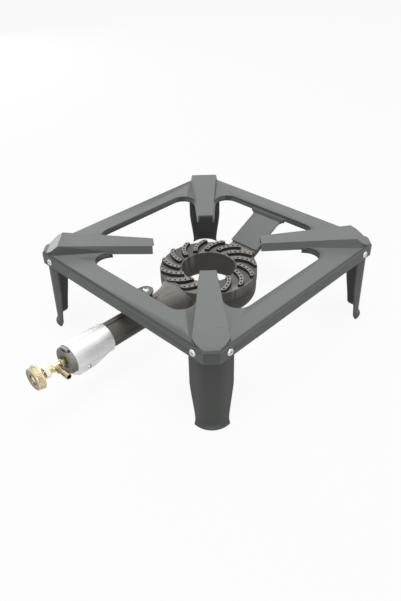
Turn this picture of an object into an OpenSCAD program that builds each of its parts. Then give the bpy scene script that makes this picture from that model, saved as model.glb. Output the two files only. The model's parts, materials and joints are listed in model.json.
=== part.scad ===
// Gas burner stove: one cast ring burner hung in a square pressed-steel stand.
// Millimetres, +Z up. Shapes are written from the middle of the stand, on the floor,
// with the mixing tube and the valve pointing along -Y. Each part is then moved along Y,
// so that the origin lies on the floor under the middle of the stove's whole outline.

/* [Stand] */
// Outside width of the square stand
stand_w = 300; // [285:5:315]
// Height of the rail's flat top above the floor
rail_z = 110; // [108:1:114]
// Height of the flange that hangs from the outer edge of the rail
flange_h = 16.8; // [16:0.2:18]
// Width of the rail's flat top
rail_w = 25; // [24:0.5:26]
// Height of the lip that hangs from the inner edge of the rail
lip_h = 8; // [6:0.5:9]
// Thickness of the pressed sheet
sheet_t = 2; // [1.8:0.1:2.2]
// Slope between the rail's top and its outer flange, measured each way
shoulder = 2.5; // [1.5:0.1:2.6]
// Set-back of the slanted corner faces along each side
corner_cut = 12; // [11.5:0.5:13]

/* [Pan supports] */
// How far the tips of the pan supports stand above the rail
support_rise = 4.4; // [4:0.2:5]
// How much higher the pan supports are at the corners than at their tips
support_climb = 7.4; // [6:0.2:8]
// Distance of the tips of the pan supports from the middle
support_tip = 67; // [66:1:72]
// Half the width of a pan support's top at its tip
tip_half_w = 9.6; // [9:0.2:10.4]
// Angle by which each side of a pan support widens
support_flare = 4.4; // [4:0.1:4.8]
// Lean of the pan support's side walls
support_draft = 9; // [7:1:12]
// Depth of the side walls at the tip
support_h = 10.5; // [10:0.5:12]
// Radius of the window's corners beside the pan supports
window_r = 17; // [14:0.5:18]

/* [Legs] */
// Outward lean of each leg below the flange
leg_lean = 2.4; // [0:0.2:3]
// Half the width of a leg at its top
leg_half_w = 23.4; // [22:0.2:24]
// Half the width of a leg just above the foot
foot_half_w = 19.2; // [18.8:0.2:20]
// Height at which a leg begins to narrow
leg_taper_z = 51; // [40:1:70]
// Outward kick of the foot at the floor
foot_flare = 4.4; // [2:0.2:5]
// Height at which the foot's kick begins
foot_z = 12; // [10:1:16]
// Distance of a rivet from the sharp corner of the stand
rivet_in = 26.3; // [25:0.1:28]

/* [Burner] */
// Height of the flat top of the burner ring
ring_z = 75.3; // [74:0.1:77]
// Height of the ring's casting
ring_h = 38; // [36:0.5:40]
// Outer radius of the ring
ring_r = 62.2; // [61:0.1:63]
// Radius of the hole through the ring
ring_hole_r = 34.5; // [33:0.1:35.5]
// Distance of the ring's middle behind the middle of the stand
ring_y = 2.5; // [0:0.5:3]
// Number of swirl ribs
rib_count = 15; // [12:1:16]
// Height of the swirl ribs
rib_h = 4.5; // [3:0.1:5]
// Width of a rib's top
rib_w = 5; // [4:0.1:5.4]
// Flame holes in each rib
rib_holes = 5; // [3:1:6]
// Diameter of a flame hole
flame_d = 2.2; // [1.6:0.1:2.4]
// Wall of the casting
cast_t = 4; // [3.5:0.1:4.5]

/* [Mixing tube] */
// Height of the tube's axis
tube_z = 61.3; // [60.8:0.1:61.8]
// Radius of the tube's body
tube_r = 15; // [14.8:0.1:15.2]
// Radius that the tube's four ribs reach
tube_rib_r = 16.2; // [16.1:0.1:16.6]
// Distance of the tube's outer end from the middle of the stand
tube_end = 222.5; // [220:0.5:225]
// Radius of the gas and air passage
tube_bore_r = 10.5; // [9:0.1:10.8]

/* [Air sleeve] */
// How far the tube's hub stands out of the sleeve's mouth
hub_out = 6; // [5.6:0.1:6.4]
// Length of the sleeve
sleeve_l = 50; // [48:0.5:51]
// Thickness of the sleeve's sheet
sleeve_t = 1; // [0.8:0.1:1.2]

/* [Valve] */
// Radius of the knob at its back
knob_r = 14.2; // [13:0.1:14.6]
// Radius of the knob's face
knob_face_r = 12.8; // [11:0.1:13]
// Thickness of the knob
knob_t = 8.5; // [8:0.1:9]
// Distance of the hose barb's axis from the tube's end
barb_out = 10.8; // [10.4:0.1:11.4]
// Distance of the barb's open end from the valve's axis
barb_reach = 24; // [22:0.5:26]
// Outside radius of the hose barb
barb_r = 3.65; // [3.5:0.05:3.7]

/* [Hidden] */
$fn = 64;
eps = 0.01;
// Radial gap of parts that slide, turn or screw into one another
run_gap = 0.05;
// Radial gap where a plain hole clears a screw
hole_gap = 0.25;

half_w = stand_w / 2;
top_half = half_w - shoulder;
window_half = top_half - rail_w;
flange_z = rail_z - flange_h;
lip_z = rail_z - lip_h;
support_z = rail_z + support_rise;
under_z = rail_z - sheet_t;
// The slanted corner faces, as a distance from the middle
corner_d = half_w * sqrt(2) - corner_cut / sqrt(2);
// The nose of a pan support, where it slopes down to the corner face
nose_start = corner_d - 22.5;
nose_end = corner_d - shoulder;
nose_z = rail_z - 2.6;
support_nose_r = 20.5;
climb_a = atan2(support_climb, nose_start - support_tip);
block_half = 45;

// The leg's section: an arc in the corner of the flanges, with a straight wing on each side
flange_in = half_w - sheet_t;
leg_skin = 0.1;
leg_face = flange_in - leg_skin;
corner_in = corner_d - sheet_t - leg_skin;
leg_c = (corner_in - leg_face) / (1 - 1 / sqrt(2));
leg_r = corner_in - leg_c;
leg_top = rail_z - 5;
foot_reach = leg_face + (flange_z * tan(leg_lean) + foot_flare) / sqrt(2);
rivet_z = rail_z - 9.7;
rivet_r = 2.5;
rivet_head_r = 4.2;

ring_low = ring_z - ring_h;
ring_joint = tube_z + 0.7;
// Each rib is an arc about its own centre, from near the hole to the outer edge
rib_r0 = ring_hole_r + 2.5;
rib_arc_r = 31;
rib_heading = -24;
rib_sweep = 62;
rib_base_w = rib_w + 1.8;

// Where the ring's wall meets the mixing tube, in front of the middle of the stand
ring_front = ring_r - ring_y;

tongue_w = 44;
tongue_end_y = ring_y + ring_r + 6.3;
tongue_end_z = ring_z + 2.6;
tongue_top_y = window_half - 4.3;
tongue_top_z = lip_z - 1.4;
tongue_a = atan2(tongue_top_z - tongue_end_z, tongue_top_y - tongue_end_y);
stud_y = tongue_end_y + 13;
// The stud starts on the strap's lower face
stud_z = tongue_z(stud_y) - sheet_t / cos(tongue_a);
stud_r = 3;
lug_t = 8;
lug_w = 40;
lug_back = 13;
lug_front = 18;

tab_y = window_half - 19.5;
tab_z = tube_z + 29.5;
tab_half_w = 9;
tab_screw_r = 2.5;
boss_r = 7.5;

sleeve_r = tube_rib_r + run_gap;
sleeve_mouth = tube_end - hub_out;
sleeve_back = sleeve_mouth - sleeve_l;
ear_gap = 1.5;
// Angle from straight down at which the sleeve leaves its round part
ear_leave = 35;
// How far below the tube's axis the two sides of the sleeve meet
ear_join = side_depth(sleeve_r + sleeve_t);
ear_top = tube_z - ear_join + 0.2;
ear_end_z = ear_top - 2.5;
ear_z = ear_top - 8.8;
clamp_y = sleeve_mouth - 22.5;
clamp_z = ear_top - 4.6;
clamp_r = 1.5;

window_far = tube_end - 16.5;
window_near = window_far - 24;
window_w = 13;
hub_r = tube_rib_r - 0.1;
hub_l = 13;
hub_recess = 2;
hub_recess_r = 8.5;
nose_r = 5;
barrel_r = 4.4;
barb_y = tube_end + barb_out;
gland_thread_r = 4.2;
gland_y = barb_y + 9.1;
nut_y = gland_y + 0.6;
nut_t = 6.5;
nut_across = 12.6;
knob_y = nut_y + nut_t + 4.4;
stem_r = 2;
stem_thread_r = 2.9;
gas_r = 1.5;
seat_y = tube_end + 3.5;
// Radius of the hose's bore, which the barb's ridges stand out of
hose_r = barb_r - 0.5;
barb_pitch = 3.2;
barb_land = 0.8;
set_r = 2;
set_y = sleeve_mouth + set_r + 0.1;
set_a = 22;

// Taller and wider than anything in the stove, for cuts that go right through
through = 400;
// Half the difference between the stove's reach forwards and backwards
knob_screw_out = 0.4;
centre_y = (knob_y + knob_t + knob_screw_out - foot_reach) / 2;

// Shared shapes

// Moves a part from the middle of the stand to the middle of the whole outline
module centred() {
    translate([0, centre_y, 0])
        children();
}

// A square plate with its corners cut off, out to the given distance along each axis
module octagon_plate(half) {
    grow = half - half_w;
    cut = half * sqrt(2) - corner_d - grow;
    polygon([
        for (a = [0 : 90 : 270], s = [-1, 1])
            let (x = half, y = s * (half - cut * sqrt(2)))
                [x * cos(a) - y * sin(a), x * sin(a) + y * cos(a)]
    ]);
}

// A solid octagon with its top edge sloped off
module pan(half, z0, z1, slope) {
    grow = half - half_w;
    side = slope * sqrt(2);
    difference() {
        translate([0, 0, z0])
            linear_extrude(z1 - z0)
                octagon_plate(half);
        for (a = [0 : 90 : 270]) {
            rotate(a)
                translate([half, 0, z1])
                    rotate([0, 45, 0])
                        cube([side, 3 * half, side], center = true);
            rotate(a + 45)
                translate([corner_d + grow, 0, z1])
                    rotate([0, 45, 0])
                        cube([side, half, side], center = true);
        }
    }
}

// A cylinder along -Y, from a distance y0 out to a distance y1
module bar_y(r, y0, y1, r_end = -1) {
    r2 = r_end < 0 ? r : r_end;
    translate([0, -y0, tube_z])
        rotate([90, 0, 0])
            cylinder(r1 = r, r2 = r2, h = y1 - y0);
}

// A hexagon prism along +Z, given the distance across its flats
module hex(across, h) {
    cylinder(d = across / cos(30), h = h, $fn = 6);
}

// A pan head with a cross recess, its seat at z = 0 and its shank down -Z
module pan_screw(head_r, head_h, shank_r, shank_l) {
    dome_r = (head_r * head_r + head_h * head_h) / (2 * head_h);
    slot_w = head_r * 0.28;
    slot_l = head_r * 1.15;
    difference() {
        union() {
            intersection() {
                translate([0, 0, head_h - dome_r])
                    sphere(dome_r);
                cylinder(r = head_r, h = head_h);
            }
            translate([0, 0, -shank_l])
                cylinder(r = shank_r, h = shank_l + head_h * 0.3);
        }
        for (a = [0, 90])
            rotate(a)
                translate([-slot_l / 2, -slot_w / 2, head_h * 0.45])
                    cube([slot_l, slot_w, head_h]);
    }
}

// Stand

// Half the width of a pan support's wall line in the rail's plane, at distance u out
function wall_half(u) = tip_half_w + (u - support_tip) * tan(support_flare) + wall_spread;
wall_spread = support_rise * tan(support_draft);
// Where that line meets the rail's inner edge, and the corner's half angle
meet_u = (window_half * sqrt(2) - wall_half(0)) / (1 + tan(support_flare));
corner_half_a = (45 + support_flare) / 2;

// The part of the window between two pan supports, on the -Y side, grown by g
module window_sector(g) {
    // The right support's side line meets the rail's inner edge at mx, in a rounded corner
    mx = (meet_u - wall_half(meet_u)) / sqrt(2);
    cx = mx - window_r / tan(corner_half_a);
    cy = window_r - window_half;
    a_end = 45 - support_flare;
    corner = [
        for (k = [0 : 8])
            let (a = -90 + k * (90 + a_end) / 8)
                [cx + (window_r + g) * cos(a), cy + (window_r + g) * sin(a)]
    ];
    // The side line's inner end, inside the support's tip
    u_in = support_tip - 20;
    inner = [
        (u_in - wall_half(u_in)) / sqrt(2) + g * cos(a_end),
        -(u_in + wall_half(u_in)) / sqrt(2) + g * sin(a_end)
    ];
    right = concat(corner, [inner]);
    left = [for (k = [len(right) - 1 : -1 : 0]) [-right[k][0], right[k][1]]];
    polygon(concat(right, [[0, 0]], left));
}

// One side of a pan support as a half space: inside lies towards the middle line
module support_side(g) {
    translate([support_tip, tip_half_w + g, support_z])
        rotate([0, 0, support_flare])
            rotate([support_draft, 0, 0])
                translate([-through / 2, -through / 2, -through / 2])
                    cube([through, through / 2, through]);
}

// Height of a pan support's top at distance u out
function support_top(u) = support_z + (u - support_tip) * tan(climb_a);

// A pan support as a solid block along +X, drawn in by g on its top, sides and nose.
// Its underside lies at z0, or climbs from there by the angle low_a.
module support_block(g, z0, u0, low_a = 0) {
    intersection() {
        translate([0, through / 2, 0])
            rotate([90, 0, 0])
                linear_extrude(through)
                    polygon([
                        [u0, z0], [u0, support_top(u0) - g],
                        [nose_start - g * 0.2, support_top(nose_start - g * 0.2) - g],
                        [nose_end - g, nose_z - g * 0.7],
                        [nose_end - g, z0 + (nose_end - g - u0) * tan(low_a)]
                    ]);
        support_side(-g / cos(support_draft));
        mirror([0, 1, 0])
            support_side(-g / cos(support_draft));
        linear_extrude(through)
            polygon(concat(
                [[0, -block_half], [nose_end - block_half, -block_half]],
                [
                    for (k = [-6 : 6])
                        let (a = k * 11)
                            [
                                nose_end - support_nose_r + (support_nose_r - g) * cos(a),
                                (support_nose_r - g) * sin(a)
                            ]
                ],
                [[nose_end - block_half, block_half], [0, block_half]]
            ));
    }
}

// Height of the back strap's upper face
function tongue_z(y) = tongue_end_z + (y - tongue_end_y) * tan(tongue_a);

// The strap at the back that lies on the ring's lug
module tongue() {
    dz = sheet_t / cos(tongue_a);
    root_y = window_half;
    low_y = tongue_end_y + 0.9;
    bend_y = tongue_top_y + 1;
    intersection() {
        translate([-60, 0, 0])
            rotate([90, 0, 90])
                linear_extrude(120)
                    polygon([
                        [root_y, lip_z + 3], [root_y - sheet_t, lip_z + 3],
                        [tongue_top_y, tongue_top_z], [tongue_end_y, tongue_end_z],
                        [low_y, tongue_z(low_y) - dz], [bend_y, tongue_z(bend_y) - dz],
                        [root_y, lip_z + 0.3]
                    ]);
        linear_extrude(through)
            difference() {
                translate([-tongue_w / 2 - 6, 0])
                    square([tongue_w + 12, through]);
                for (s = [-1, 1])
                    translate([s * (tongue_w / 2 + 6), 0]) {
                        translate([0, root_y - 8])
                            circle(6);
                        translate([-6, 0])
                            square([12, root_y - 8]);
                    }
            }
    }
}

// The strap at the front that the tab screw holds down on the tube's boss
module tab() {
    end_y = tab_y - 8;
    difference() {
        intersection() {
            translate([-60, 0, 0])
                rotate([90, 0, 90])
                    linear_extrude(120)
                        polygon([
                            [-window_half, lip_z + 3], [-window_half + sheet_t, lip_z + 3],
                            [-tab_y - 9, tab_z + sheet_t], [-end_y + 2, tab_z + sheet_t],
                            [-end_y + 2, tab_z], [-tab_y - 10.4, tab_z], [-window_half, lip_z]
                        ]);
            linear_extrude(through) {
                translate([0, -tab_y])
                    circle(tab_half_w);
                polygon([
                    [-tab_half_w, -tab_y], [tab_half_w, -tab_y],
                    [tab_half_w + 4, -window_half - 1], [-tab_half_w - 4, -window_half - 1]
                ]);
            }
        }
        translate([0, -tab_y, tab_z - 1])
            cylinder(r = tab_screw_r + hole_gap, h = 10);
    }
}

module rivet_places() {
    for (a = [0 : 90 : 270])
        rotate(a)
            for (s = [-1, 1])
                translate([s * (half_w - rivet_in), -half_w, rivet_z])
                    rotate([90, 0, 0])
                        children();
}

module stand_frame() {
    color("dimgray") centred()
        difference() {
            union() {
                // The rail, hollow underneath, with its four-part window cut out
                difference() {
                    pan(half_w, flange_z, rail_z, shoulder);
                    pan(half_w - sheet_t, flange_z - 1, under_z, shoulder - 0.6);
                    for (a = [0 : 90 : 270])
                        rotate(a)
                            linear_extrude(through)
                                window_sector(0);
                    cylinder(r = support_tip + 3, h = through);
                }
                // The lip around the window
                difference() {
                    translate([0, 0, lip_z])
                        linear_extrude(lip_h)
                            intersection() {
                                for (a = [0 : 90 : 270])
                                    rotate(a)
                                        window_sector(sheet_t);
                                difference() {
                                    square(2 * (window_half + sheet_t), center = true);
                                    circle(window_half - 5.5);
                                }
                            }
                    for (a = [0 : 90 : 270])
                        rotate(a)
                            linear_extrude(through)
                                window_sector(0);
                }
                // The pan supports: full side walls in the window, low ones on the rail
                for (a = [45 : 90 : 315]) {
                    intersection() {
                        rotate(a)
                            support_block(0, support_z - support_h, support_tip, climb_a);
                        cube([2 * window_half, 2 * window_half, through], center = true);
                    }
                    rotate(a)
                        support_block(0, nose_z - 0.4, window_half);
                }
                tab();
                tongue();
            }
            for (a = [45 : 90 : 315])
                rotate(a)
                    support_block(sheet_t, flange_z - 2, support_tip - 5);
            rivet_places()
                translate([0, 0, -10])
                    cylinder(r = rivet_r + run_gap, h = 20);
        }
}

// A leg is a bent sheet with its corner along +X: an arc with a wing on each side
module leg_section() {
    wing = (leg_half_w - leg_r * sin(45)) * sqrt(2) + 4;
    outer = leg_line(leg_r, wing);
    inner = leg_line(leg_r - sheet_t, wing);
    polygon(concat(outer, [for (k = [len(inner) - 1 : -1 : 0]) inner[k]]));
}

// One face of the sheet in plan, from the end of one wing to the end of the other
function leg_line(r, wing) = concat(
    [leg_point(r, -45, -wing)],
    [for (k = [0 : 12]) leg_point(r, -45 + k * 90 / 12, 0)],
    [leg_point(r, 45, wing)]
);
function leg_point(r, a, along) = [r * cos(a) - along * sin(a), r * sin(a) + along * cos(a)];

// How far the leg stands out at height z: it leans from the flange down, and the foot kicks out
function leg_shift(z) = (flange_z - z) * tan(leg_lean) + foot_flare * pow(max(0, 1 - z / foot_z), 2);

// A straight stretch of the leg, from height z1 down to z0 and a little further
module leg_stretch(z1, z0, further) {
    run = z1 - z0;
    lean = atan2(leg_shift(z0) - leg_shift(z1), run);
    length = run / cos(lean) + further;
    translate([leg_c + leg_shift(z1), 0, z1])
        rotate([0, -lean, 0])
            translate([0, 0, -length])
                linear_extrude(length)
                    leg_section();
}

module leg_sheet() {
    intersection() {
        union() {
            translate([leg_c, 0, flange_z])
                linear_extrude(leg_top - flange_z)
                    leg_section();
            leg_stretch(flange_z, foot_z, 0);
            leg_stretch(foot_z, foot_z / 2, 0);
            leg_stretch(foot_z / 2, 0, 20);
        }
        // The outline seen from the corner, which narrows towards the foot
        rotate([90, 0, 90])
            linear_extrude(through)
                polygon([
                    [-leg_half_w, leg_top + 1], [-leg_half_w, leg_taper_z], [-foot_half_w, foot_z],
                    [-foot_half_w - foot_flare / 3, 0], [foot_half_w + foot_flare / 3, 0],
                    [foot_half_w, foot_z], [leg_half_w, leg_taper_z], [leg_half_w, leg_top + 1]
                ]);
    }
}

module leg(a) {
    color("gray") centred()
        difference() {
            rotate(a)
                leg_sheet();
            rivet_places()
                translate([0, 0, -20])
                    cylinder(r = rivet_r + run_gap, h = 40);
            // The sheet is pressed flat under each rivet's inner head
            rivet_places()
                translate([0, 0, -2 * sheet_t - leg_skin - 8])
                    cylinder(r = rivet_head_r + 0.3, h = 8.03);
        }
}

module leg_front() { leg(-45); }
module leg_right() { leg(45); }
module leg_back() { leg(135); }
module leg_left() { leg(-135); }

module leg_rivets() {
    dome_h = 1.9;
    dome_r = (rivet_head_r * rivet_head_r + dome_h * dome_h) / (2 * dome_h);
    color("silver") centred()
        rivet_places() {
            translate([0, 0, -2 * sheet_t - leg_skin])
                cylinder(r = rivet_r, h = 2 * sheet_t + leg_skin + 0.2);
            intersection() {
                translate([0, 0, dome_h - dome_r])
                    sphere(dome_r);
                cylinder(r = rivet_head_r, h = 5);
            }
            translate([0, 0, -2 * sheet_t - leg_skin - 1.5])
                cylinder(r = rivet_head_r, h = 1.5);
        }
}

// Burner

// The section of the ring: inner wall, outer wall, floor and roof, drawn in by g
module ring_section(g) {
    in_r = 12 - g;
    out_r = 10 - g;
    x0 = ring_hole_r + g;
    x1 = ring_r - 0.6 - g;
    z0 = ring_low + g;
    h = ring_z - g - z0;
    translate([x0 + in_r, z0])
        square([x1 - x0 - in_r - out_r, h]);
    translate([x0, z0 + in_r])
        square([x1 - x0, h - in_r]);
    translate([x0 + in_r, z0 + in_r])
        circle(in_r);
    translate([x1 - out_r, z0 + out_r])
        circle(out_r);
    // The upper half of the mould stands out a little over the lower half
    translate([x0, ring_joint])
        square([ring_r - g - x0, ring_z - g - ring_joint]);
}

// The centre of a rib's arc, for a rib whose inner end lies on +X
rib_cx = rib_r0 + rib_arc_r * cos(rib_heading - 90);
rib_cy = rib_arc_r * sin(rib_heading - 90);

// A point on a rib's middle line, t of the way from its inner end
function rib_point(t) = [
    rib_cx + rib_arc_r * cos(rib_heading + 90 - t * rib_sweep),
    rib_cy + rib_arc_r * sin(rib_heading + 90 - t * rib_sweep)
];

module swirl_rib() {
    translate([rib_cx, rib_cy, ring_z - eps])
        rotate([0, 0, rib_heading + 90 - rib_sweep])
            rotate_extrude(angle = rib_sweep)
                polygon([
                    [rib_arc_r - rib_base_w / 2, 0], [rib_arc_r + rib_base_w / 2, 0],
                    [rib_arc_r + rib_w / 2, rib_h], [rib_arc_r - rib_w / 2, rib_h]
                ]);
}

module rib_place(i) {
    translate([0, ring_y, 0])
        rotate(-78.5 - i * 360 / rib_count)
            children();
}

// The burner is one casting, made here as its ring and its tube, which meet face to face
module burner_ring() {
    color([0.42, 0.39, 0.37]) centred()
        difference() {
            union() {
                translate([0, ring_y, 0])
                    rotate_extrude($fn = 128)
                        ring_section(0);
                intersection() {
                    for (i = [0 : rib_count - 1])
                        rib_place(i)
                            swirl_rib();
                    translate([0, ring_y, 0])
                        cylinder(r = ring_r - 0.8, h = through);
                }
                // The lug under the tongue
                translate([0, stud_y, stud_z])
                    rotate([tongue_a, 0, 0])
                        translate([-lug_w / 2, -lug_front, -lug_t])
                            cube([lug_w, lug_front + lug_back, lug_t]);
                translate([1 - lug_w / 2, ring_y + ring_r - 6, ring_z - 12])
                    cube([lug_w - 2, lug_back, 11.5]);
            }
            // The gas chamber in the ring, and the way in from the tube
            translate([0, ring_y, 0])
                rotate_extrude($fn = 128)
                    ring_section(cast_t);
            bar_y(tube_bore_r, ring_front - 8, ring_front + 5);
            // The flame holes
            for (i = [0 : rib_count - 1], k = [0 : rib_holes - 1])
                rib_place(i)
                    translate(concat(rib_point((k + 0.55) / rib_holes * 0.95), ring_z - cast_t - 1))
                        cylinder(d = flame_d, h = 20, $fn = 16);
            // The stud's hole
            translate([0, stud_y, stud_z])
                rotate([tongue_a, 0, 0])
                    translate([0, 0, -2 * lug_t])
                        cylinder(r = stud_r + hole_gap, h = 3 * lug_t);
        }
}

module mixing_tube() {
    color([0.42, 0.39, 0.37]) centred()
        difference() {
            union() {
                // The tube with its neck, four long ribs and end hub
                bar_y(tube_r, ring_front - 5, tube_end - hub_l + 2);
                bar_y(tube_r + 2.2, ring_front - 4, ring_front + 7, tube_r);
                intersection() {
                    bar_y(tube_rib_r, ring_front + 4, tube_end - hub_l + 1);
                    for (a = [0, 90])
                        translate([0, -tube_end / 2, tube_z])
                            rotate([0, a, 0])
                                cube([4, tube_end, 4 * tube_r], center = true);
                }
                bar_y(hub_r, tube_end - hub_l, tube_end - 1.5);
                bar_y(hub_r, tube_end - 1.5, tube_end, hub_r - 1.5);
                // The boss under the tab
                translate([0, -tab_y, tube_z])
                    cylinder(r = boss_r, h = tab_z - tube_z);
            }
            // The ring's wall, which the neck meets
            translate([0, ring_y, 0])
                rotate_extrude($fn = 128)
                    ring_section(0);
            // The passage along the tube, and the seat of the valve in the hub
            bar_y(tube_bore_r, ring_front - 10, window_far + 1);
            bar_y(nose_r + run_gap, window_far, tube_end + 1);
            bar_y(hub_recess_r, tube_end - hub_recess, tube_end + 1);
            // The air windows between the tube's ribs
            for (a = [45, 135])
                translate([0, -(window_near + window_far) / 2, tube_z])
                    rotate([0, a, 0])
                        cube([window_w, window_far - window_near, 4 * tube_r], center = true);
            // The screw holes
            translate([0, -tab_y, tab_z - 16])
                cylinder(r = tab_screw_r + run_gap, h = 20);
            translate([0, -set_y, tube_z])
                rotate([0, set_a, 0])
                    cylinder(r = set_r + run_gap, h = 2 * tube_r);
        }
}

module tab_screw() {
    color("silver") centred()
        translate([0, -tab_y, tab_z + sheet_t])
            rotate(20)
                pan_screw(4.5, 2.8, tab_screw_r, 14);
}

module tongue_stud() {
    color("silver") centred()
        translate([0, stud_y, stud_z])
            rotate([tongue_a, 0, 0])
                translate([0, 0, -18])
                    cylinder(r = stud_r, h = 18);
}

module tongue_washer() {
    color("silver") centred()
        translate([0, stud_y, stud_z])
            rotate([tongue_a, 0, 0])
                translate([0, 0, -lug_t - 1.2])
                    difference() {
                        cylinder(r = 6.2, h = 1.2);
                        translate([0, 0, -1])
                            cylinder(r = stud_r + hole_gap, h = 4);
                    }
}

module tongue_nut() {
    color("silver") centred()
        translate([0, stud_y, stud_z])
            rotate([tongue_a, 0, 0])
                translate([0, 0, -lug_t - 1.2 - 5])
                    difference() {
                        hex(10, 5);
                        translate([0, 0, -1])
                            cylinder(r = stud_r + run_gap, h = 8);
                    }
}

// Air sleeve

// How far below the axis a tangent from the round part, at radius r, meets the gap of the ears
function side_depth(r) =
    r * cos(ear_leave) + (r * sin(ear_leave) - ear_gap / 2) * tan(ear_leave);

// One straight side of the sleeve's band, from the round part to its ear
module sleeve_side() {
    r0 = sleeve_r;
    r1 = sleeve_r + sleeve_t;
    polygon([
        [r0 * sin(ear_leave), -r0 * cos(ear_leave)],
        [r1 * sin(ear_leave), -r1 * cos(ear_leave)],
        [ear_gap / 2, -side_depth(r1)],
        [ear_gap / 2, -side_depth(r0)]
    ]);
}

module air_sleeve() {
    r1 = sleeve_r + sleeve_t;
    wedge = 40;
    color("gainsboro") centred()
        difference() {
            union() {
                translate([0, -sleeve_back, tube_z])
                    rotate([90, 0, 0])
                        linear_extrude(sleeve_l) {
                            difference() {
                                circle(r1);
                                circle(sleeve_r);
                                polygon([
                                    [0, 0], [wedge * sin(ear_leave), -wedge * cos(ear_leave)],
                                    [-wedge * sin(ear_leave), -wedge * cos(ear_leave)]
                                ]);
                            }
                            sleeve_side();
                            mirror([1, 0])
                                sleeve_side();
                        }
                for (s = [0, 1])
                    mirror([s, 0, 0])
                        translate([ear_gap / 2, 0, 0])
                            rotate([90, 0, 90])
                                linear_extrude(sleeve_t)
                                    polygon([
                                        [-sleeve_mouth, ear_top], [-sleeve_mouth, ear_end_z],
                                        [-sleeve_mouth + 8.5, ear_z], [-sleeve_back - 19.5, ear_z],
                                        [-sleeve_back, ear_end_z], [-sleeve_back, ear_top]
                                    ]);
            }
            translate([-20, -clamp_y, clamp_z])
                rotate([0, 90, 0])
                    cylinder(r = clamp_r + hole_gap, h = 40);
        }
}

module sleeve_screw() {
    color("silver") centred()
        translate([ear_gap / 2 + sleeve_t, -clamp_y, clamp_z])
            rotate([0, 90, 0])
                rotate(30)
                    pan_screw(2.9, 2, clamp_r, 8);
}

module sleeve_nut() {
    color("silver") centred()
        translate([-ear_gap / 2 - sleeve_t - 2.4, -clamp_y, clamp_z])
            rotate([0, 90, 0])
                difference() {
                    hex(5.5, 2.4);
                    translate([0, 0, -1])
                        cylinder(r = clamp_r + run_gap, h = 5);
                }
}

// Valve

module valve_body() {
    color("darkkhaki") centred()
        difference() {
            union() {
                // The nose in the hub, the barrel and the gland thread
                bar_y(nose_r, window_far - 1, tube_end - 3.5);
                bar_y(barrel_r, tube_end - 3.6, gland_y);
                bar_y(gland_thread_r, gland_y - 1, gland_y + 3.6);
                // The shoulder that the hose barb screws into
                translate([0, -barb_y, tube_z])
                    rotate([0, 90, 0])
                        cylinder(r = 4.6, h = 8.5);
                bar_y(barrel_r, barb_y - 5.6, barb_y - 4.4, barrel_r + 0.8);
                bar_y(barrel_r + 0.8, barb_y - 4.4, barb_y + 4.4);
                bar_y(barrel_r + 0.8, barb_y + 4.4, barb_y + 5.6, barrel_r);
            }
            // The jet's thread, the gas passage, the seat and the spindle's thread
            bar_y(2.5 + run_gap, window_far - 2, window_far + 7);
            bar_y(gas_r, window_far, gland_y - 2.4);
            bar_y(stem_thread_r + run_gap, seat_y + 3, gland_y + 0.4);
            bar_y(3.2, gland_y - 2.6, gland_y + 4);
            // The way in from the barb
            translate([0, -barb_y, tube_z])
                rotate([0, 90, 0]) {
                    cylinder(r = gas_r, h = 10);
                    translate([0, 0, 4.5])
                        cylinder(r = 3 + run_gap, h = 10);
                }
        }
}

module valve_set_screw() {
    color("dimgray") centred()
        translate([0, -set_y, tube_z])
            rotate([0, set_a, 0])
                difference() {
                    translate([0, 0, nose_r + run_gap])
                        cylinder(r = set_r, h = tube_rib_r - nose_r - 0.8);
                    translate([0, 0, tube_rib_r - 2.6])
                        hex(2, 4);
                }
}

module gas_jet() {
    color("darkkhaki") centred()
        difference() {
            union() {
                bar_y(2.5, window_far - 1, window_far + 6);
                translate([0, -window_far + 4.4, tube_z])
                    rotate([90, 0, 0])
                        hex(7, 3.4);
                bar_y(1.4, window_far - 6.5, window_far - 4, 2.6);
            }
            bar_y(0.45, window_far - 8, window_far + 4);
            bar_y(1.3, window_far - 2, window_far + 7);
        }
}

module hose_barb() {
    shank = 4.6;
    start = 9.2;
    color("darkkhaki") centred()
        translate([0, -barb_y, tube_z])
            rotate([0, 90, 0])
                difference() {
                    union() {
                        translate([0, 0, shank])
                            cylinder(r = 3, h = 5);
                        translate([0, 0, 8.5])
                            cylinder(r = barb_r + 0.45, h = 1.4);
                        translate([0, 0, start])
                            cylinder(r = hose_r, h = barb_reach - start);
                        // Each ridge has a short land behind its slope
                        for (i = [0 : 2])
                            translate([0, 0, barb_reach - (i + 1) * barb_pitch]) {
                                cylinder(r = barb_r, h = barb_land);
                                translate([0, 0, barb_land])
                                    cylinder(
                                        r1 = barb_r, r2 = hose_r - 0.05,
                                        h = barb_pitch - barb_land
                                    );
                            }
                    }
                    translate([0, 0, shank - 1])
                        cylinder(r = gas_r, h = 40);
                    translate([0, 0, 11])
                        cylinder(r = 2.5, h = 40);
                }
}

module gland_packing() {
    color("black") centred()
        difference() {
            bar_y(3.15, gland_y - 2.4, gland_y + 3.75);
            bar_y(stem_r + run_gap, gland_y - 4, gland_y + 5);
        }
}

module gland_nut() {
    color("darkkhaki") centred()
        difference() {
            union() {
                translate([0, -nut_y, tube_z])
                    rotate([90, 0, 0])
                        hex(nut_across, nut_t - 1);
                bar_y(nut_across / 2 - 0.2, nut_y + nut_t - 1.01, nut_y + nut_t, 4.6);
            }
            bar_y(gland_thread_r + run_gap, nut_y - 1, gland_y + 3.8);
            bar_y(stem_r + run_gap, nut_y, nut_y + nut_t + 1);
        }
}

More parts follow.
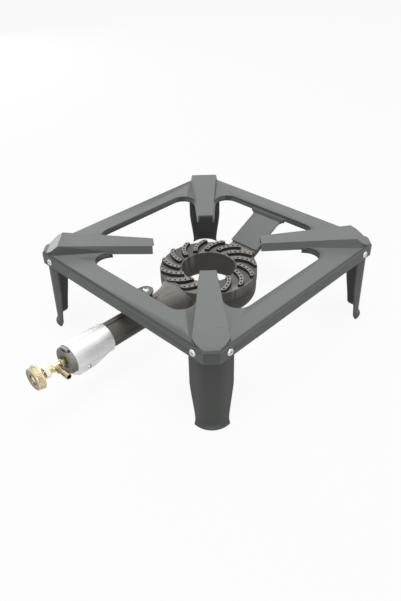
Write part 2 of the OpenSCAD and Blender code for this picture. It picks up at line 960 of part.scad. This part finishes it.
module valve_spindle() {
    color("silver") centred()
        difference() {
            union() {
                bar_y(0.2, seat_y - 2.4, seat_y + 0.6, gas_r - 0.1);
                bar_y(gas_r - 0.1, seat_y + 0.55, seat_y + 4.6);
                bar_y(stem_thread_r, seat_y + 4.5, seat_y + 11.5);
                bar_y(stem_r, seat_y + 11, knob_y + knob_t - 2.6);
            }
            bar_y(1.25 + run_gap, knob_y - 4, knob_y + knob_t);
        }
}

module knob() {
    band = 1.6;
    taper = atan2(knob_r - knob_face_r, knob_t);
    color("khaki") centred()
        difference() {
            union() {
                bar_y(5.2, knob_y - 2, knob_y + 0.1);
                bar_y(knob_r - 0.6, knob_y, knob_y + 0.6, knob_r);
                bar_y(knob_r, knob_y + 0.6, knob_y + band, knob_r);
                bar_y(knob_r - 0.25, knob_y + band, knob_y + knob_t - 0.8, knob_face_r + 0.3);
                bar_y(knob_face_r + 0.3, knob_y + knob_t - 0.8, knob_y + knob_t, knob_face_r - 0.5);
            }
            // Grip grooves along the taper
            for (i = [0 : 23])
                translate([0, 0, tube_z])
                    rotate([0, i * 15, 0])
                        translate([0, -knob_y - band, knob_r])
                            rotate([90 + taper, 0, 0])
                                rotate(45)
                                    cube([0.9, 0.9, 2 * (knob_t - band - 1)], center = true);
            bar_y(stem_r + run_gap, knob_y - 3, knob_y + knob_t - 2.5);
            bar_y(1.25 + hole_gap, knob_y, knob_y + knob_t + 1);
            bar_y(5.8, knob_y + knob_t - 1.5, knob_y + knob_t + 1);
        }
}

module knob_screw() {
    color("silver") centred()
        translate([0, -(knob_y + knob_t - 1.5), tube_z])
            rotate([90, 0, 0])
                pan_screw(3.4, 1.9, 1.25, 8);
}

stand_frame();
leg_front();
leg_left();
leg_right();
leg_back();
leg_rivets();
burner_ring();
mixing_tube();
tab_screw();
tongue_stud();
tongue_washer();
tongue_nut();
air_sleeve();
sleeve_screw();
sleeve_nut();
valve_body();
valve_set_screw();
gas_jet();
hose_barb();
gland_packing();
gland_nut();
valve_spindle();
knob();
knob_screw();
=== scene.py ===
import json
import math

import bmesh
import bpy
from mathutils import Matrix, Vector


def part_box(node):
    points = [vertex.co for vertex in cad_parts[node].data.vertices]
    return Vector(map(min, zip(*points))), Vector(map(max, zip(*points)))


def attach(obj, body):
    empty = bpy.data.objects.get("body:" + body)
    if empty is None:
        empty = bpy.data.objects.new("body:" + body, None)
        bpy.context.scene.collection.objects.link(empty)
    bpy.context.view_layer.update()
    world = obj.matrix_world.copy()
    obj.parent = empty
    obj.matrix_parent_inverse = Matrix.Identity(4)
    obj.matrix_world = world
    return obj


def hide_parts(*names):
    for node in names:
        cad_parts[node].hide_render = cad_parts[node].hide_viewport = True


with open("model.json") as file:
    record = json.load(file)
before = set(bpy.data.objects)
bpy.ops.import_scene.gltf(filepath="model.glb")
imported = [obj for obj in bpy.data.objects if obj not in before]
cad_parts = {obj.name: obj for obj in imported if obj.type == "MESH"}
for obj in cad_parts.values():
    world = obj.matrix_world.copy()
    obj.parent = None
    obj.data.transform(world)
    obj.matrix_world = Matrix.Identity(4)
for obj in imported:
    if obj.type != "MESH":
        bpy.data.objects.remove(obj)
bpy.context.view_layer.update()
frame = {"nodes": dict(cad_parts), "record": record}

# Places in metres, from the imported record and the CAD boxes
MM = 0.001
MIDDLE_Y = 0.0545133                     # the middle of the square stand, from the origin
FLOOR_Z = 0.0
RING_TOP = 0.0753                        # flat top of the burner ring
RIB_TOP = RING_TOP + 0.0045
RING_MIDDLE = Vector((0, MIDDLE_Y + 0.0025, RIB_TOP))
TUBE_Z = 0.0613
CREASE_Z = 0.1086                        # where the rails' rounded shoulder ends
CREASE_OUT = (0.138, 0.140)              # distance of that crease from the stand's middle
# Places along Y where one look of a casting or turned part gives way to another
NECK_Y = (-0.040, -0.032, -0.007, -0.002)
TUBE_Y = (-0.030, -0.052)
HUB_Y = -0.160
BARB_Y = -0.183
AIM = (0, MIDDLE_Y, 0.05)                # what the lights point at
nodes = frame["nodes"]


# Camera, fitted to the photograph's 401 x 601 frame

LENS_MM = 34.74
CAMERA_PLACE = Vector((0.43568, -0.44820 + MIDDLE_Y, 0.47791))
CAMERA_RIGHT = Vector((0.71655, 0.69723, -0.02062))
CAMERA_UP = Vector((-0.39849, 0.43344, 0.80829))
CAMERA_BACK = Vector((0.5725, -0.5710, 0.5884))


def make_camera():
    data = bpy.data.cameras.new("camera")
    data.sensor_fit = "AUTO"
    data.sensor_width = 36.0
    data.lens = LENS_MM
    data.clip_start = 0.01
    cam = bpy.data.objects.new("camera", data)
    turn = Matrix((CAMERA_RIGHT, CAMERA_UP, CAMERA_BACK)).transposed()
    cam.matrix_world = Matrix.Translation(CAMERA_PLACE) @ turn.to_4x4()
    bpy.context.scene.collection.objects.link(cam)
    bpy.context.scene.camera = cam


# Node materials

class Shader:
    """A node material with short calls for the nodes that this scene uses."""

    def __init__(self, name, rough, metallic=0.0, specular=0.5):
        self.mat = bpy.data.materials.new(name)
        self.mat.use_nodes = True
        self.tree = self.mat.node_tree
        self.bsdf = self.tree.nodes["Principled BSDF"]
        self.bsdf.inputs["Roughness"].default_value = rough
        self.bsdf.inputs["Metallic"].default_value = metallic
        self.bsdf.inputs["Specular IOR Level"].default_value = specular
        self.place = self.new("ShaderNodeTexCoord").outputs["Object"]

    def new(self, kind, **values):
        node = self.tree.nodes.new(kind)
        for key, value in values.items():
            setattr(node, key, value)
        return node

    def join(self, out, to):
        self.tree.links.new(out, to)

    def noise(self, scale, detail=4.0, rough=0.55, stretch=None):
        tex = self.new("ShaderNodeTexNoise")
        tex.inputs["Scale"].default_value = scale
        tex.inputs["Detail"].default_value = detail
        tex.inputs["Roughness"].default_value = rough
        place = self.place
        if stretch:
            mapping = self.new("ShaderNodeMapping")
            mapping.inputs["Scale"].default_value = stretch
            self.join(place, mapping.inputs["Vector"])
            place = mapping.outputs["Vector"]
        self.join(place, tex.inputs["Vector"])
        return tex.outputs["Fac"]

    def ramp(self, value, low, high, low_to=0.0, high_to=1.0):
        node = self.new("ShaderNodeMapRange")
        node.inputs["From Min"].default_value = low
        node.inputs["From Max"].default_value = high
        node.inputs["To Min"].default_value = low_to
        node.inputs["To Max"].default_value = high_to
        self.join(value, node.inputs["Value"])
        return node.outputs["Result"]

    def maths(self, kind, a, b):
        node = self.new("ShaderNodeMath", operation=kind)
        for socket, value in ((node.inputs[0], a), (node.inputs[1], b)):
            if isinstance(value, (int, float)):
                socket.default_value = value
            else:
                self.join(value, socket)
        return node.outputs[0]

    def mix(self, fac, a, b):
        node = self.new("ShaderNodeMix", data_type="RGBA")
        self.join(fac, node.inputs["Factor"])
        for key, value in (("A", a), ("B", b)):
            socket = [s for s in node.inputs if s.name == key and s.type == "RGBA"][0]
            if isinstance(value, tuple):
                socket.default_value = (*value, 1.0)
            else:
                self.join(value, socket)
        return [s for s in node.outputs if s.type == "RGBA"][0]

    def blend(self, value, low, high, a, b):
        """Colour a where the value is at low, turning into b at high."""
        return self.mix(self.ramp(value, low, high), a, b)

    def bump(self, *layers):
        """Each layer is (height, distance in metres, strength)."""
        last = None
        for height, distance, strength in layers:
            node = self.new("ShaderNodeBump")
            node.inputs["Distance"].default_value = distance
            node.inputs["Strength"].default_value = strength
            self.join(height, node.inputs["Height"])
            if last:
                self.join(last, node.inputs["Normal"])
            last = node.outputs["Normal"]
        self.join(last, self.bsdf.inputs["Normal"])

    def edge(self, low, high):
        return self.ramp(self.new("ShaderNodeNewGeometry").outputs["Pointiness"], low, high)

    def along(self, axis):
        node = self.new("ShaderNodeSeparateXYZ")
        self.join(self.place, node.inputs[0])
        return node.outputs[axis]

    def band(self, axis, low_out, low_in, high_in, high_out):
        """1 between the inner two places along the axis, and 0 outside the outer two."""
        place = self.along(axis)
        rise = self.ramp(place, low_out, low_in)
        fall = self.ramp(place, high_out, high_in)
        return self.maths("MULTIPLY", rise, fall)

    def radius_from(self, z):
        """Distance from the line along Y at x = 0 and this height."""
        square = self.maths("POWER", self.along("X"), 2)
        rise = self.maths("POWER", self.maths("SUBTRACT", self.along("Z"), z), 2)
        return self.maths("POWER", self.maths("ADD", square, rise), 0.5)

    def facing_up(self):
        node = self.new("ShaderNodeSeparateXYZ")
        self.join(self.new("ShaderNodeNewGeometry").outputs["Normal"], node.inputs[0])
        return node.outputs["Z"]

    def colour(self, out):
        self.join(out, self.bsdf.inputs["Base Color"])

    def rough(self, out):
        self.join(out, self.bsdf.inputs["Roughness"])


def stand_enamel():
    s = Shader("stand_enamel", 0.45, specular=0.35)
    cloud = s.noise(14, 3)
    grain = s.noise(900, 2, 0.7)
    base = s.blend(cloud, 0.35, 0.7, (0.112, 0.119, 0.112), (0.130, 0.138, 0.130))
    speck = s.blend(grain, 0.35, 0.75, base, (0.150, 0.158, 0.150))
    # Convex edges are paler: partly wear, partly a painted sheen along the bends
    pale_edges = s.mix(s.edge(0.515, 0.56), speck, (0.23, 0.245, 0.238))
    # Painted shade darkens the crease where the rail's shoulder meets the flange
    sideways = s.maths("ABSOLUTE", s.along("X"), 0)
    lengthways = s.maths("ABSOLUTE", s.maths("SUBTRACT", s.along("Y"), MIDDLE_Y), 0)
    out = s.ramp(s.maths("MAXIMUM", sideways, lengthways), *CREASE_OUT)
    level = s.band("Z", CREASE_Z - 0.0012, CREASE_Z - 0.0004, CREASE_Z + 0.0004, CREASE_Z + 0.0012)
    crease_shade = s.maths("MULTIPLY", s.maths("MULTIPLY", level, out), 0.55)
    s.colour(s.mix(crease_shade, pale_edges, (0.045, 0.048, 0.045)))
    s.rough(s.ramp(grain, 0.3, 0.7, 0.36, 0.52))
    s.bump((grain, 0.0004, 0.35), (s.noise(160, 3), 0.0006, 0.12))
    return s.mat


def cast_iron():
    s = Shader("cast_iron", 0.6, specular=0.4)
    cloud = s.noise(45, 5)
    grain = s.noise(700, 3, 0.7)
    base = s.blend(cloud, 0.35, 0.7, (0.135, 0.124, 0.112), (0.185, 0.172, 0.158))
    speck = s.blend(grain, 0.55, 0.75, base, (0.26, 0.245, 0.228))
    pale_edges = s.mix(s.edge(0.52, 0.58), speck, (0.34, 0.325, 0.30))
    # The neck between ring and tube is smoother than either, and a painted highlight makes it paler
    neck = s.band("Y", *NECK_Y)
    smooth = s.blend(cloud, 0.35, 0.7, (0.25, 0.225, 0.20), (0.31, 0.285, 0.26))
    ring = s.mix(neck, pale_edges, smooth)
    # The tube is darker than the ring, and its hub is bare grey
    dark = s.blend(cloud, 0.35, 0.7, (0.110, 0.102, 0.084), (0.18, 0.17, 0.145))
    tube = s.blend(s.along("Y"), *TUBE_Y, ring, dark)
    bare = s.blend(grain, 0.4, 0.7, (0.36, 0.355, 0.34), (0.50, 0.49, 0.475))
    hub = s.blend(s.along("Y"), HUB_Y + 0.001, HUB_Y - 0.001, tube, bare)
    # The ribs' tops are rubbed paler than the ring, and painted shade makes their upright side
    # walls near black
    paler = s.blend(s.along("Z"), RIB_TOP - 0.0004, RIB_TOP - 0.0001, hub, (0.40, 0.375, 0.35))
    above = s.ramp(s.along("Z"), RING_TOP + 0.0002, RING_TOP + 0.0007)
    upright = s.ramp(s.facing_up(), 0.93, 0.75)
    wall_shade = s.mix(s.maths("MULTIPLY", above, upright), paler, (0.022, 0.018, 0.015))
    # All that stands just above the ribs' tops is the ring of painted shade round each flame hole
    rims = s.band("Z", RIB_TOP + 0.00002, RIB_TOP + 0.00003, RIB_TOP + 0.0002, RIB_TOP + 0.0003)
    s.colour(s.mix(rims, wall_shade, (0.018, 0.015, 0.013)))
    rough = s.ramp(cloud, 0.3, 0.7, 0.45, 0.68)
    s.rough(s.maths("SUBTRACT", rough, s.maths("MULTIPLY", neck, 0.14)))
    s.bump((grain, 0.0006, 0.5), (s.noise(220, 4), 0.001, 0.25))
    return s.mat


def bare_aluminium():
    s = Shader("bare_aluminium", 0.3, metallic=1.0)
    brushed = s.noise(500, 3, 0.6, stretch=(1.0, 0.08, 1.0))
    cloud = s.noise(60, 3)
    s.colour(s.blend(cloud, 0.3, 0.7, (0.72, 0.72, 0.72), (0.82, 0.82, 0.815)))
    s.rough(s.ramp(brushed, 0.3, 0.7, 0.36, 0.46))
    s.bump((brushed, 0.0002, 0.08))
    return s.mat


def zinc_plate():
    s = Shader("zinc_plate", 0.28, metallic=1.0)
    cloud = s.noise(400, 4)
    tone = s.blend(cloud, 0.35, 0.65, (0.62, 0.62, 0.60), (0.80, 0.80, 0.78))
    # Painted shade darkens the hollows and inner corners
    s.colour(s.mix(s.edge(0.49, 0.45), tone, (0.10, 0.10, 0.10)))
    s.rough(s.ramp(cloud, 0.3, 0.7, 0.2, 0.4))
    s.bump((s.noise(900, 3), 0.0003, 0.2))
    return s.mat


def turned_brass():
    s = Shader("turned_brass", 0.25, metallic=1.0)
    cloud = s.noise(120, 4)
    turned = s.noise(1600, 2, 0.5, stretch=(0.15, 1.0, 0.15))
    tone = s.blend(cloud, 0.3, 0.7, (0.60, 0.50, 0.27), (0.82, 0.73, 0.50))
    # Painted shade darkens the corners, and the ridges are rubbed bright
    crevice_shaded = s.mix(s.edge(0.49, 0.44), tone, (0.16, 0.12, 0.05))
    bright = s.mix(s.edge(0.53, 0.60), crevice_shaded, (0.93, 0.87, 0.66))
    # The gland nut is nearly white
    low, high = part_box("gland_nut")
    nut = s.band("Y", low[1] + 0.0005, low[1] + 0.001, high[1] - 0.0005, high[1])
    paler = s.mix(s.maths("MULTIPLY", nut, 0.8), bright, (0.97, 0.95, 0.88))
    # The barb is browned, and so is the knob's dished face
    barb_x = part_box("hose_barb")[0][0]
    beyond = s.ramp(s.along("X"), barb_x, barb_x + 0.001)
    barb = s.maths("MULTIPLY", beyond, s.ramp(s.along("Y"), BARB_Y - 0.0005, BARB_Y + 0.0005))
    brown = s.mix(barb, paler, (0.46, 0.375, 0.24))
    knob_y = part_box("knob")[0][1]
    front = s.ramp(s.along("Y"), knob_y + 0.0012, knob_y + 0.0008)
    face = s.maths("MULTIPLY", front, s.ramp(s.radius_from(TUBE_Z), 0.0122, 0.0118))
    s.colour(s.mix(face, brown, (0.30, 0.275, 0.185)))
    s.rough(s.ramp(turned, 0.3, 0.7, 0.18, 0.34))
    s.bump((turned, 0.0002, 0.2))
    return s.mat


def dark_steel():
    s = Shader("dark_steel", 0.45, metallic=1.0)
    cloud = s.noise(500, 3)
    s.colour(s.blend(cloud, 0.3, 0.7, (0.05, 0.05, 0.05), (0.10, 0.10, 0.10)))
    s.bump((cloud, 0.0002, 0.2))
    return s.mat


def packing():
    s = Shader("packing", 0.8)
    fibre = s.noise(1200, 4)
    s.colour(s.blend(fibre, 0.3, 0.7, (0.02, 0.02, 0.02), (0.05, 0.048, 0.045)))
    s.bump((fibre, 0.0003, 0.4))
    return s.mat


MATERIALS = {}


def make_materials():
    for make in (
        stand_enamel, cast_iron, bare_aluminium, zinc_plate, turned_brass, dark_steel, packing,
    ):
        MATERIALS[make.__name__] = make()
    for part in frame["record"]["subparts"]:
        obj = nodes[part["node"]]
        obj.data.materials.clear()
        obj.data.materials.append(MATERIALS[part["material_slot"]])


# Softened edges of the CAD nodes

FLAT_ANGLE = 0.6                         # degrees; faces that meet at less become one
EDGE_ANGLE = 25.0                        # degrees; edges sharper than this are rounded


def soften(name, width, segments=3, join=2e-6):
    """Joins a CAD node's faces and rounds its edges by modifiers, so its own vertices stay."""
    obj = nodes[name]
    weld = obj.modifiers.new("weld", "WELD")
    weld.merge_threshold = join
    flat = obj.modifiers.new("flat", "DECIMATE")
    flat.decimate_type = "DISSOLVE"
    flat.angle_limit = math.radians(FLAT_ANGLE)
    bevel = obj.modifiers.new("bevel", "BEVEL")
    bevel.width = width
    bevel.segments = segments
    bevel.limit_method = "ANGLE"
    bevel.angle_limit = math.radians(EDGE_ANGLE)
    bevel.use_clamp_overlap = True
    bevel.harden_normals = False
    bevel.face_strength_mode = "FSTR_AFFECTED"
    for face in obj.data.polygons:
        face.use_smooth = True
    normals = obj.modifiers.new("normals", "WEIGHTED_NORMAL")
    normals.keep_sharp = False
    normals.use_face_influence = True


# Pieces made in full for the render

def link_piece(name, mesh, body, slot, smooth_angle=None):
    piece = bpy.data.objects.new(name, mesh)
    bpy.context.scene.collection.objects.link(piece)
    for face in mesh.polygons:
        face.use_smooth = True
    if smooth_angle:
        mesh.set_sharp_from_angle(angle=math.radians(smooth_angle))
    mesh.materials.append(MATERIALS[slot])
    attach(piece, body)
    return piece


def add_rings(bm, rings):
    """Skins a list of rings, each a list of points, and caps the two ends."""
    rows = [[bm.verts.new(point) for point in ring] for ring in rings]
    count = len(rows[0])
    for low, high in zip(rows, rows[1:]):
        for k in range(count):
            bm.faces.new((low[k], low[(k + 1) % count], high[(k + 1) % count], high[k]))
    bm.faces.new(list(reversed(rows[0])))
    bm.faces.new(rows[-1])


def finish_mesh(name, bm):
    bmesh.ops.recalc_face_normals(bm, faces=bm.faces)
    mesh = bpy.data.meshes.new(name)
    bm.to_mesh(mesh)
    bm.free()
    return mesh


def make_knob():
    """The brass knob: a smooth band, a diamond knurl and a dished face."""
    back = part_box("knob")[1][1] - 0.002
    cells, cell_columns = 44, 6
    columns = cells * cell_columns
    knurl_r, groove = 13.6, 0.6
    pitch = 2 * math.pi * knurl_r / cells
    # Profiles of (distance from the band's back, radius) in mm
    plain = [
        (-2.0, 2.2), (-2.0, 4.9), (-1.7, 5.2), (0.0, 5.2), (0.0, 13.3),
        (0.25, 13.9), (0.6, 14.2), (1.45, 14.2), (1.65, 14.0),
    ]
    knurl = [(1.85 + k * 0.2, 13.95 - 0.85 * k / 28) for k in range(29)]
    face = [
        (7.75, 12.9), (8.2, 12.55), (8.45, 12.1), (8.5, 11.6), (8.45, 11.2), (8.1, 10.9),
        (8.0, 10.4), (8.0, 7.5), (8.1, 7.0), (8.35, 6.7), (8.4, 6.3), (8.3, 5.9), (8.1, 5.8),
        (7.05, 5.8), (7.0, 5.6), (7.0, 1.6),
    ]

    def ring(t, r, cut):
        points = []
        for k in range(columns):
            a = 2 * math.pi * k / columns
            deep = 0.0
            if cut:
                turn = k / cell_columns
                waves = [abs(2 * ((turn + sign * t / pitch) % 1.0) - 1) for sign in (1, -1)]
                deep = cut * (1 - min(1.0, 1.5 * min(waves)))
            reach = (r - deep) * MM
            points.append((reach * math.cos(a), back - t * MM, TUBE_Z + reach * math.sin(a)))
        return points

    bm = bmesh.new()
    rings = [ring(t, r, 0) for t, r in plain]
    for k, (t, r) in enumerate(knurl):
        rings.append(ring(t, r, groove * min(1, k / 2, (len(knurl) - 1 - k) / 2)))
    rings += [ring(t, r, 0) for t, r in face]
    add_rings(bm, rings)
    mesh = finish_mesh("knob_knurled", bm)
    piece = link_piece("knob_knurled", mesh, "knob", "turned_brass", 32)
    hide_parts("knob")


def make_rivets():
    """Eight hollow-headed rivets, each in one piece through the flange and the leg."""
    low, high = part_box("stand_frame")
    half = (high[0] - low[0]) / 2
    from_corner, height = 26.3 * MM, 100.3 * MM
    columns = 32
    # (Distance outwards from the flange, radius) in mm
    profile = [
        (-5.6, 0.01), (-5.6, 3.2), (-5.45, 3.8), (-5.1, 4.15), (-4.4, 4.2), (-4.12, 4.15),
        (-4.1, 2.5), (0.0, 2.5), (0.02, 4.1), (0.3, 4.2), (0.7, 4.05), (1.15, 3.7), (1.6, 3.1),
        (1.85, 2.5), (1.9, 2.0), (1.75, 1.6), (1.2, 1.4), (0.0, 1.3), (-1.2, 1.25), (-1.25, 0.01),
    ]
    bm = bmesh.new()
    for corner in range(4):
        turn = Matrix.Translation((0, MIDDLE_Y, 0)) @ Matrix.Rotation(corner * math.pi / 2, 4, "Z")
        for side in (-1, 1):
            place = Vector((side * (half - from_corner), -half, height))
            rings = []
            for t, r in profile:
                rings.append([
                    turn @ (place + Vector((r * math.cos(a), -t, r * math.sin(a))) * MM)
                    for a in (2 * math.pi * k / columns for k in range(columns))
                ])
            add_rings(bm, rings)
    mesh = finish_mesh("rivets", bm)
    piece = link_piece("rivets", mesh, "stand", "zinc_plate", 40)
    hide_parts("leg_rivets")


# Sizes of a leg in mm, and its lean in degrees
LEG_CORNER, WING_PLANE = 200.4, 147.9    # the arc's crown and the wings, from the stand's middle
BEND_Z, LEG_LEAN = 93.2, 1.4             # below the bend the leg leans outwards
CURL_Z, CURL_OUT, CURL_WIDE = 7.5, 3.0, 1.3
TAPER_TALL, WAIST_HALF, TOP_HALF = 46, 18.5, 23.4
LEG_SHEET = 2.0


def leg_points(z, inset):
    """One face of a leg's sheet at height z, as distances outwards and sideways from the middle."""
    centre = (LEG_CORNER - WING_PLANE) / (1 - math.sqrt(0.5))
    lean = max(0.0, BEND_Z - z) * math.tan(math.radians(LEG_LEAN))
    curl = max(0.0, 1 - z / CURL_Z) ** 2
    radius = LEG_CORNER - centre + CURL_OUT * curl - inset
    taper = min(1.0, max(0.0, (z - CURL_Z) / TAPER_TALL))
    taper = taper * taper * (3 - 2 * taper) * 0.35 + taper * 0.65
    half = WAIST_HALF + (TOP_HALF - WAIST_HALF) * taper + CURL_WIDE * curl
    bend = math.radians(45)
    arc = radius * bend
    wing = (half - (radius + inset) * math.sin(bend)) * math.sqrt(2)
    points = []
    for k in range(-20, 21):
        run = abs(k) / 20 * (arc + wing)
        side = math.copysign(1, k)
        a = min(run, arc) / radius
        extra = max(0.0, run - arc)
        out = centre + radius * math.cos(a) - extra * math.sin(bend)
        points.append((out + lean, side * (radius * math.sin(a) + extra * math.cos(bend))))
    return points


def make_legs():
    """The legs: bent sheet with a curled rim at the foot."""
    levels = [
        0, 0.5, 1, 1.6, 2.3, 3, 3.8, 4.6, 5.5, 6.5, CURL_Z, 9, 12, 16, 22, 30, 38, 45,
        50, 54, 60, 70, 82, 90, BEND_Z, 97, 101, 105,
    ]
    for name, angle in (("front", -45), ("right", 45), ("back", 135), ("left", -135)):
        turn = Matrix.Translation((0, MIDDLE_Y, 0)) @ Matrix.Rotation(math.radians(angle), 4, "Z")
        bm = bmesh.new()
        skins = []
        for inset in (0.0, LEG_SHEET):
            skins.append([
                [bm.verts.new(turn @ (Vector((u, v, z)) * MM)) for u, v in leg_points(z, inset)]
                for z in levels
            ])
        for skin in skins:
            for low, high in zip(skin, skin[1:]):
                for k in range(len(low) - 1):
                    bm.faces.new((low[k], low[k + 1], high[k + 1], high[k]))
        outer, inner = skins
        for row in (0, -1):
            for k in range(len(outer[0]) - 1):
                bm.faces.new((outer[row][k], outer[row][k + 1], inner[row][k + 1], inner[row][k]))
        for k in (0, -1):
            for a, b, c, d in zip(outer, outer[1:], inner, inner[1:]):
                bm.faces.new((a[k], b[k], d[k], c[k]))
        mesh = finish_mesh(name + "_leg", bm)
        piece = link_piece(name + "_leg", mesh, "stand", "stand_enamel")
        round_edges(piece, 0.0005)
        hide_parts("leg_" + name)


def round_edges(piece, width):
    """Rounds the sharp edges of one of this scene's own pieces."""
    bevel = piece.modifiers.new("bevel", "BEVEL")
    bevel.width = width
    bevel.segments = 3
    bevel.limit_method = "ANGLE"
    bevel.angle_limit = math.radians(40.0)
    piece.modifiers.new("normals", "WEIGHTED_NORMAL")


def make_neck():
    """The horn by which the mixing tube opens into the ring's wall."""
    start = MIDDLE_Y - 0.0525
    length, tube_r = 0.036, 0.0151
    more_wide, more_tall, more_deep = 0.0135, 0.0021, 0.0072
    steps, columns = 26, 72
    rings = []
    for k in range(steps + 1):
        t = k / steps
        ease = (1 - t) ** 2.4
        wide = tube_r + more_wide * ease
        tall = tube_r + more_tall * math.sin(math.pi * t ** 0.6) ** 0.5
        deep = tube_r + more_deep * ease
        power = 2.0 + 0.5 * ease
        ring = []
        for m in range(columns):
            a = 2 * math.pi * m / columns
            c, n = math.cos(a), math.sin(a)
            x = math.copysign(abs(c) ** (2 / power), c) * wide
            z = math.copysign(abs(n) ** (2 / power), n) * (tall if n > 0 else deep)
            ring.append((x, start - t * length, TUBE_Z + z))
        rings.append(ring)
    bm = bmesh.new()
    add_rings(bm, rings)
    mesh = finish_mesh("neck_horn", bm)
    link_piece("neck_horn", mesh, "stand", "cast_iron", 60)


def make_port_rims():
    """Painted shade round the mouth of each flame hole, five along each of the 15 arched ribs."""
    ribs, holes, spokes = 15, 5, 20
    first_rib, start_r = -78.5, 37.0
    arc_r, heading, sweep = 31.0, -24.0, 62.0
    drilled, first_hole = 0.95, 0.55     # the drilled share of a rib, and the first hole in it
    # (Radius, height over the rib's top) in mm
    section = [(1.02, -0.4), (1.02, 0.05), (1.42, 0.05), (1.52, -0.1)]
    mid = Vector((
        start_r + arc_r * math.cos(math.radians(heading - 90)),
        arc_r * math.sin(math.radians(heading - 90)),
        0,
    ))
    bm = bmesh.new()
    for rib in range(ribs):
        angle = math.radians(first_rib - rib * 360 / ribs)
        turn = Matrix.Translation(RING_MIDDLE) @ Matrix.Rotation(angle, 4, "Z")
        for hole in range(holes):
            a = math.radians(heading + 90 - (hole + first_hole) / holes * drilled * sweep)
            place = mid + arc_r * Vector((math.cos(a), math.sin(a), 0))
            columns = []
            for k in range(spokes):
                b = 2 * math.pi * k / spokes
                column = [place + Vector((r * math.cos(b), r * math.sin(b), z)) for r, z in section]
                columns.append([bm.verts.new(turn @ (point * MM)) for point in column])
            for k in range(spokes):
                left, right = columns[k], columns[(k + 1) % spokes]
                for m in range(len(section)):
                    after = (m + 1) % len(section)
                    bm.faces.new((left[m], right[m], right[after], left[after]))
    mesh = finish_mesh("port_rims", bm)
    link_piece("port_rims", mesh, "stand", "cast_iron", 40)


# Stage and light

SEEN_WHITE = 0.93                        # share of plain white in the floor that the camera sees
MIRRORED_WHITE = 0.5                     # and in the floor that bright metal mirrors
FILL_STRENGTH = 0.12


def mix_shaders(tree, share, first, second):
    """Mixes two shader nodes; the share of the second is a number or a socket."""
    node = tree.nodes.new("ShaderNodeMixShader")
    if isinstance(share, float):
        node.inputs[0].default_value = share
    else:
        tree.links.new(share, node.inputs[0])
    tree.links.new(first.outputs[0], node.inputs[1])
    tree.links.new(second.outputs[0], node.inputs[2])
    return node


def diffuse(tree, grey):
    node = tree.nodes.new("ShaderNodeBsdfDiffuse")
    node.inputs["Color"].default_value = (grey, grey, grey, 1)
    return node


def make_stage():
    """The floor: nearly plain white to the camera, with a little of the shadow left in it."""
    mesh = bpy.data.meshes.new("floor")
    side = 4.0
    corners = [(-side, -side), (side, -side), (side, side), (-side, side)]
    mesh.from_pydata([(x, y, FLOOR_Z) for x, y in corners], [], [(0, 1, 2, 3)])
    floor = bpy.data.objects.new("floor", mesh)
    bpy.context.scene.collection.objects.link(floor)
    mat = bpy.data.materials.new("floor")
    mat.use_nodes = True
    tree = mat.node_tree
    tree.nodes.remove(tree.nodes["Principled BSDF"])
    matt = diffuse(tree, 0.25)
    shade = diffuse(tree, 0.9)
    white = tree.nodes.new("ShaderNodeEmission")
    path = tree.nodes.new("ShaderNodeLightPath")
    seen = mix_shaders(tree, SEEN_WHITE, shade, white)
    mirrored = mix_shaders(tree, MIRRORED_WHITE, shade, white)
    # Bounced light comes from the matt floor
    unseen = mix_shaders(tree, path.outputs["Is Glossy Ray"], matt, mirrored)
    mix = mix_shaders(tree, path.outputs["Is Camera Ray"], unseen, seen)
    tree.links.new(mix.outputs[0], tree.nodes["Material Output"].inputs[0])
    mesh.materials.append(mat)


def make_world():
    """Plain white where it is seen, mirrored or seen through, and a soft fill light elsewhere."""
    world = bpy.data.worlds.new("studio")
    bpy.context.scene.world = world
    world.use_nodes = True
    tree = world.node_tree
    soft = tree.nodes["Background"]
    soft.inputs["Strength"].default_value = FILL_STRENGTH
    white = tree.nodes.new("ShaderNodeBackground")
    for background in (soft, white):
        background.inputs["Color"].default_value = (1, 1, 1, 1)
    path = tree.nodes.new("ShaderNodeLightPath")
    glossy = tree.nodes.new("ShaderNodeMath")
    glossy.operation = "MAXIMUM"
    tree.links.new(path.outputs["Is Glossy Ray"], glossy.inputs[0])
    tree.links.new(path.outputs["Is Transmission Ray"], glossy.inputs[1])
    seen = tree.nodes.new("ShaderNodeMath")
    seen.operation = "MAXIMUM"
    tree.links.new(path.outputs["Is Camera Ray"], seen.inputs[0])
    tree.links.new(glossy.outputs[0], seen.inputs[1])
    mix = mix_shaders(tree, seen.outputs[0], soft, white)
    tree.links.new(mix.outputs[0], tree.nodes["World Output"].inputs[0])


def area_light(name, place, size, watts):
    """A square light that points at the middle of the stove."""
    data = bpy.data.lights.new(name, "AREA")
    data.shape = "SQUARE"
    data.size = size
    data.energy = watts
    lamp = bpy.data.objects.new(name, data)
    lamp.location = place
    lamp.rotation_mode = "QUATERNION"
    lamp.rotation_quaternion = (Vector(AIM) - Vector(place)).to_track_quat("-Z", "Y")
    bpy.context.scene.collection.objects.link(lamp)


make_camera()
make_materials()
soften("stand_frame", 0.0009, join=0.0002)
for cast in ("burner_ring", "mixing_tube"):
    soften(cast, 0.0005)
for small in (
    "tab_screw", "tongue_stud", "tongue_washer", "tongue_nut", "air_sleeve",
    "sleeve_screw", "sleeve_nut", "valve_body", "valve_set_screw", "gas_jet", "hose_barb",
    "gland_packing", "gland_nut", "valve_spindle", "knob_screw",
):
    soften(small, 0.0002, 2)
make_knob()
make_rivets()
make_legs()
make_neck()
make_port_rims()
make_stage()
make_world()
area_light("key", (0.15, -0.15, 2.3), 1.2, 31)
area_light("front", (1.2, -1.15, 0.7), 0.9, 4)
area_light("left", (-1.8, 0.3, 0.5), 0.9, 13)

bpy.context.scene.view_settings.view_transform = "Standard"
